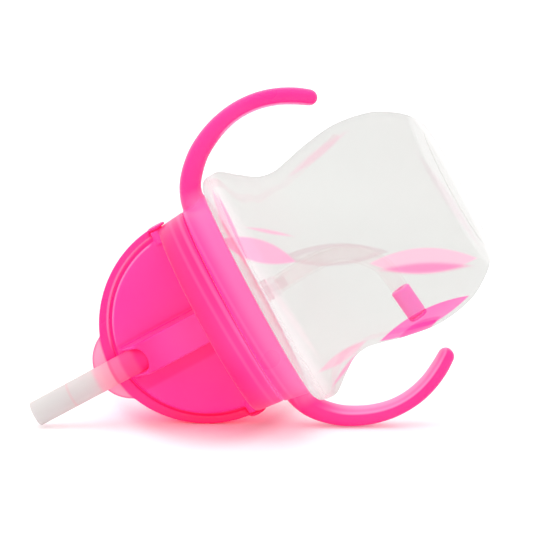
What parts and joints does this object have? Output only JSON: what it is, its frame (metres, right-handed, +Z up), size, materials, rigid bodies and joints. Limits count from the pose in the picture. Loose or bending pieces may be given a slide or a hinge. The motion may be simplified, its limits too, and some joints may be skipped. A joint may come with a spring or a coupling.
{
  "type": "sippy cup",
  "caption": "Trainer cup with a clear waisted body, a lid with a flip-over straw cover, a weighted flexible straw and two open side handles.",
  "frame": {"origin": "centre of the underside of the cup's foot", "axes": "+Z up the cup's axis towards the lid, +X and -X towards the two handles, -Y the drinking side where the straw stands in front of the lid's half dome"},
  "size_m": [0.109, 0.077, 0.1453],
  "materials": {
    "clear_cup": "clear, glossy, very slightly hazy",
    "pink_lid": "translucent pink, satin gloss",
    "pink_cover": "translucent pink, satin gloss",
    "pink_handle": "translucent pink, satin gloss",
    "straw_silicone": "milky translucent silicone, matte",
    "tube_silicone": "clear to milky silicone, satin",
    "connector": "clear pinkish plastic",
    "pink_weight": "pink plastic, satin",
    "weight_steel": "turned stainless steel"
  },
  "bodies": {
    "cup": {"cup_body": "clear_cup"},
    "handles": {"handle_ring": "pink_handle"},
    "lid": {"lid": "pink_lid", "spout_root": "straw_silicone", "straw_connector": "connector", "tube_upper": "tube_silicone"},
    "cover": {"flip_cover": "pink_cover"},
    "spout_1": {"spout_lower": "straw_silicone"},
    "spout_2": {"spout_middle": "straw_silicone"},
    "spout_3": {"spout_upper": "straw_silicone"},
    "spout_4": {"spout_tip": "straw_silicone"},
    "tube_1": {"tube_middle": "tube_silicone"},
    "tube_2": {"tube_lower": "tube_silicone"},
    "weight": {"tube_end": "tube_silicone", "weight_sleeve": "pink_weight", "weight_core": "weight_steel", "weight_cap": "pink_weight"}
  },
  "joints": [
    {"name": "lid_lift", "type": "slide", "parent": "cup", "child": "handles", "axis": [0, 0, 1], "range_m": [0, 0.00334]},
    {"name": "lid_twist", "type": "hinge", "parent": "handles", "child": "lid", "pos_m": [0, 0, 0.0857], "axis": [0, 0, 1], "range_deg": [0, 100]},
    {"name": "cover_flip", "type": "hinge", "parent": "lid", "child": "cover", "pos_m": [0, 0, 0.0857], "axis": [1, 0, 0], "range_deg": [0, 90]},
    {"name": "spout_bend_root", "type": "hinge", "parent": "lid", "child": "spout_1", "pos_m": [0, -0.0042, 0.1077], "axis": [1, 0, 0], "range_deg": [0, 60.1], "deforming": ["spout_lower"]},
    {"name": "spout_bend_lower", "type": "hinge", "parent": "spout_1", "child": "spout_2", "pos_m": [0, -0.0042, 0.1132], "axis": [1, 0, 0], "range_deg": [0, 65.1], "deforming": ["spout_middle"]},
    {"name": "spout_bend_middle", "type": "hinge", "parent": "spout_2", "child": "spout_3", "pos_m": [0, -0.0042, 0.1227], "axis": [1, 0, 0], "range_deg": [0, 47.1], "deforming": ["spout_upper"]},
    {"name": "spout_bend_upper", "type": "hinge", "parent": "spout_3", "child": "spout_4", "pos_m": [0, -0.0042, 0.1337], "axis": [1, 0, 0], "range_deg": [0, 33.1], "deforming": ["spout_tip"]},
    {"name": "tube_bend_upper", "type": "hinge", "parent": "lid", "child": "tube_1", "pos_m": [0.0008, -0.0042, 0.0515], "axis": [0, -1, 0], "range_deg": [0, 20.1]},
    {"name": "tube_bend", "type": "hinge", "parent": "tube_1", "child": "tube_2", "pos_m": [-0.0006, -0.0042, 0.04], "axis": [0, -1, 0], "range_deg": [0, 67]},
    {"name": "tube_bend_lower", "type": "hinge", "parent": "tube_2", "child": "weight", "pos_m": [-0.01, -0.0042, 0.0307], "axis": [0, -1, 0], "range_deg": [0, 66.1]}
  ],
  "couplings": [
    {"joint": "lid_lift", "follows": "lid_twist", "m_per_rad": 0.0019099},
    {"joint": "spout_bend_root", "follows": "cover_flip", "ratio": 0.66667},
    {"joint": "spout_bend_lower", "follows": "cover_flip", "ratio": 0.72222},
    {"joint": "spout_bend_middle", "follows": "cover_flip", "ratio": 0.52222},
    {"joint": "spout_bend_upper", "follows": "cover_flip", "ratio": 0.36667},
    {"joint": "tube_bend_upper", "follows": "tube_bend", "ratio": 0.29851},
    {"joint": "tube_bend_lower", "follows": "tube_bend", "ratio": 0.98508}
  ]
}
